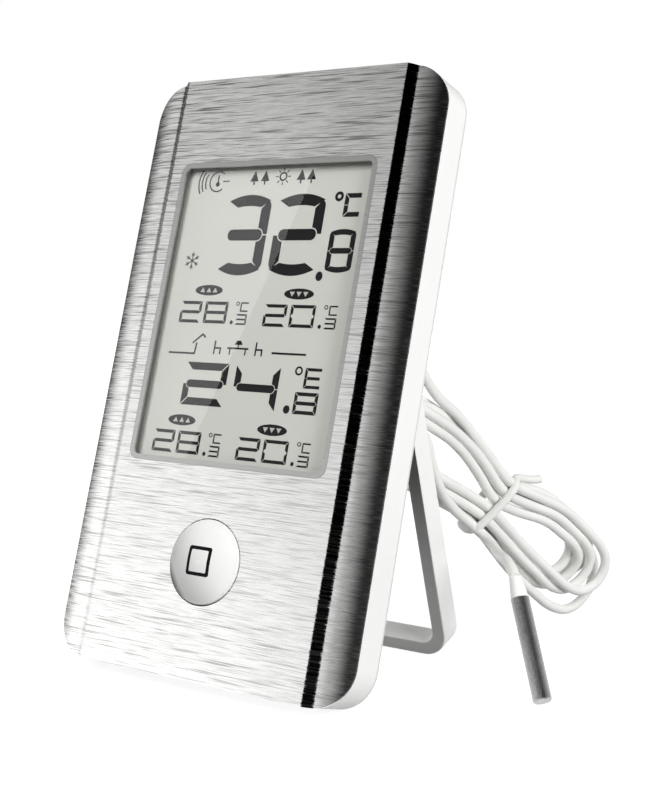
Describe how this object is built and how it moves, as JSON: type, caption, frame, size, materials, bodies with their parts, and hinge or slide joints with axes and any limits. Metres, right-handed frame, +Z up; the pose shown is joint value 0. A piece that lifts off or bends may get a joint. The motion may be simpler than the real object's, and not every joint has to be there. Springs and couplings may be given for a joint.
{
  "type": "maximum minimum thermometer",
  "caption": "Leaning digital indoor and outdoor thermometer with a brushed front, a fold-out U stand and a tied sensor lead with a steel probe.",
  "frame": {"origin": "on the surface it stands on, under the middle of the standing thermometer without its sensor lead", "axes": "+Z up, the display faces -Y, +X to the right seen from the front"},
  "size_m": [0.1146, 0.119, 0.1423],
  "materials": {
    "white_case": "smooth moulded ABS",
    "white_trim": "glossy moulded ABS",
    "brushed_metal": "horizontally brushed",
    "rim_silver": "silver lacquer",
    "clear_window": "clear acrylic",
    "display_grey": "liquid crystal display, grey",
    "holder_white": "moulded",
    "conductive_rubber": "elastomer",
    "board_green": "solder mask",
    "chip_black": "epoxy",
    "bright_steel": "plated",
    "probe_steel": "brushed stainless steel",
    "switch_black": "moulded",
    "cell_jacket": "plain printed jacket",
    "cord_white": "soft PVC",
    "sensor_bead": "dipped epoxy"
  },
  "bodies": {
    "case": {"front_shell": "white_case", "fascia_plate": "brushed_metal", "window_rim": "rim_silver", "display_lens": "clear_window", "display_holder": "holder_white", "lcd_glass": "display_grey", "contact_strips": "conductive_rubber", "main_board": "board_green", "chip_cover": "chip_black", "crystal": "bright_steel", "tact_switch": "switch_black", "indoor_sensor": "sensor_bead", "unit_switch_body": "switch_black", "rear_cover": "white_case", "battery_cell": "cell_jacket", "battery_spring": "bright_steel", "battery_contact": "bright_steel", "housing_screws": "bright_steel", "board_screws": "bright_steel", "cable_grommet": "cord_white", "lead_wires": "cord_white", "cord_lead": "cord_white", "cord_hank": "cord_white", "cord_tie": "cord_white", "probe_lead": "cord_white", "probe_boot": "cord_white", "probe_sleeve": "probe_steel", "probe_sensor": "sensor_bead"},
    "stand": {"stand": "white_trim"},
    "button": {"button_cap": "white_trim", "switch_plunger": "switch_black"},
    "door": {"battery_door": "white_case"},
    "unit_knob": {"unit_slider": "switch_black"}
  },
  "joints": [
    {"name": "stand_fold", "type": "hinge", "parent": "case", "child": "stand", "pos_m": [0, 0.00326, 0.0843], "axis": [1, 0, 0], "range_deg": [-34.5, 0]},
    {"name": "button_press", "type": "slide", "parent": "case", "child": "button", "axis": [0, 0.9544, -0.2984], "range_m": [0, 0.0005], "stiffness_N_per_m": 600},
    {"name": "door_swing", "type": "hinge", "parent": "case", "child": "door", "pos_m": [0, 0.01811, 0.12041], "axis": [-1, 0, 0], "range_deg": [0, 70]},
    {"name": "unit_slide", "type": "slide", "parent": "case", "child": "unit_knob", "axis": [1, 0, 0], "range_m": [0, 0.002]}
  ]
}
